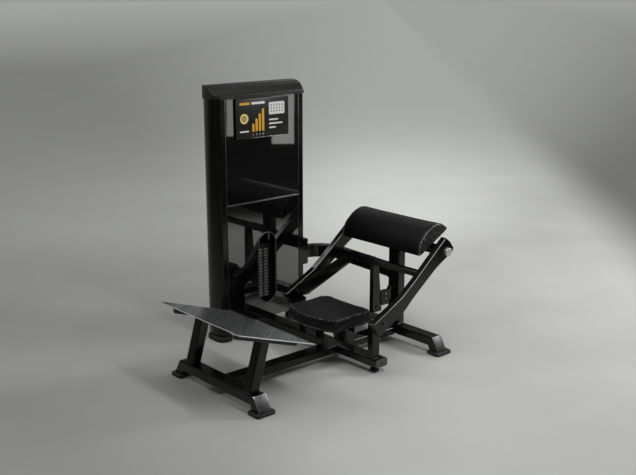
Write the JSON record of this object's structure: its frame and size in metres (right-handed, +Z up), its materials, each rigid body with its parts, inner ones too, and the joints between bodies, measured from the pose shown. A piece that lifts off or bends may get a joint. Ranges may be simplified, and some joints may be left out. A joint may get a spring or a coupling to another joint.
{
  "type": "glute machine",
  "caption": "Glute machine: low seat and half-round back pad on a floor frame, sloping foot plate, swinging arm frame with pegs, and an enclosed weight stack tower at one side.",
  "frame": {"origin": "centre of the machine's bounding box, on the floor", "axes": "+Z up; +Y from the foot plate to the back pad, the way the sitter's back faces; +X to the sitter's side away from the weight tower"},
  "size_m": [1.333, 1.73, 1.717],
  "materials": {
    "paint": "satin black powder coat",
    "panel": "gloss black sheet",
    "rubber": "matt black",
    "cushion": "fine-grained dark grey synthetic leather over foam",
    "tread": "brushed tread sheet",
    "trim": "bright satin edge strip",
    "cap": "grey end cap",
    "steel": "bright steel",
    "bush": "plain bearing bronze",
    "iron": "black painted cast plates",
    "knob": "black moulding"
  },
  "bodies": {
    "machine_frame": {"front_foot_beam": "paint", "rear_foot_beam": "paint", "main_beam": "paint", "mid_beam_right": "paint", "mid_beam_left": "paint", "plate_rail_left": "paint", "plate_rail_right": "paint", "front_leg_left": "paint", "front_leg_right": "paint", "side_post_left": "paint", "side_post_right": "paint", "upright": "paint", "pivot_housing": "paint", "stop_bracket": "paint", "seat_board": "paint", "seat_bracket_right": "paint", "seat_bracket_left": "paint", "back_board": "paint", "tower_column_front": "paint", "tower_column_rear": "paint", "tower_base": "paint", "tower_cap": "paint", "tie_tube": "paint", "tie_flange": "paint", "pulley_bracket": "paint", "upper_panel": "panel", "lower_panel": "panel", "rear_panel": "panel", "front_pad_left": "rubber", "front_pad_right": "rubber", "rear_pad_left": "rubber", "rear_pad_right": "rubber", "mid_beam_foot": "rubber", "stop_bumper": "rubber", "tower_foot_front": "rubber", "tower_foot_rear": "rubber", "seat_cushion": "cushion", "back_pad": "cushion", "foot_plate": "tread", "slot_trim": "trim", "mid_beam_cap": "cap", "guide_rod_front": "steel", "guide_rod_rear": "steel", "lift_cable": "steel", "pivot_bush_left": "bush", "pivot_bush_right": "bush", "lower_plates": "iron"},
    "movement_arm": {"arm_left": "paint", "arm_right": "paint", "pivot_shaft": "steel", "shaft_cap_left": "steel", "shaft_cap_right": "steel", "drive_lever": "paint", "crossbar": "paint", "arm_brace": "paint"},
    "weight_stack": {"lifted_plates": "iron", "head_plate": "iron", "selector_stem": "steel"},
    "selector_pin": {"selector_pin": "knob"},
    "pulley": {"top_pulley": "knob"}
  },
  "joints": [
    {"name": "stack_lift", "type": "slide", "parent": "machine_frame", "child": "weight_stack", "axis": [0, 0, 1], "range_m": [0, 0.345], "deforming": ["lift_cable"]},
    {"name": "arm_pivot", "type": "hinge", "parent": "machine_frame", "child": "movement_arm", "pos_m": [0.2015, 0.77097, 0.69], "axis": [-1, 0, 0], "range_deg": [0, 40]},
    {"name": "pulley_turn", "type": "hinge", "parent": "machine_frame", "child": "pulley", "pos_m": [-0.5835, 0.25497, 1.47], "axis": [-1, 0, 0], "range_deg": [0, 330]},
    {"name": "pin_pull", "type": "slide", "parent": "weight_stack", "child": "selector_pin", "axis": [1, 0, 0], "range_m": [0, 0.02]}
  ],
  "couplings": [
    {"joint": "arm_pivot", "follows": "stack_lift", "rad_per_m": 2},
    {"joint": "pulley_turn", "follows": "stack_lift", "rad_per_m": 16.667}
  ]
}
